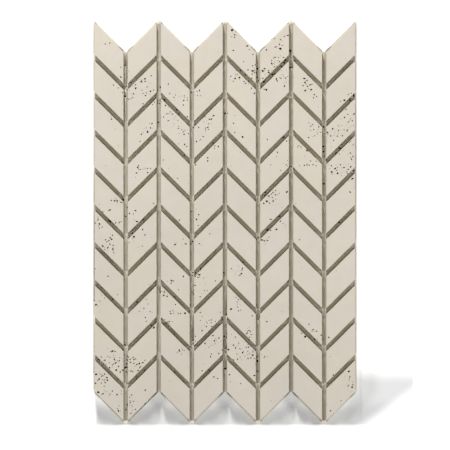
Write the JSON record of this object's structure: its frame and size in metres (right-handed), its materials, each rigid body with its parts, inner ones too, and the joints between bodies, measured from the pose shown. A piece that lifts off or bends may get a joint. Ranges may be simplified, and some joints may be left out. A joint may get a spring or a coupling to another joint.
{
  "type": "textured concrete wall panel",
  "caption": "Flat-backed cast concrete wall panel with a chevron relief of slanted tiles between grooves, and zigzag top and bottom edges that interlock with the next panel.",
  "frame": {"origin": "middle of the flat back, which lies on the floor", "axes": "+Z out of the wall, from the back to the face; +Y up the wall, along the grooves that run straight; +X across the columns, to the right when the face is seen with +Y up"},
  "size_m": [0.598, 0.9206, 0.03],
  "materials": {
    "concrete": "matt cream-grey cast concrete with open air holes"
  },
  "bodies": {
    "root": {"wall_panel": "concrete"}
  },
  "joints": []
}
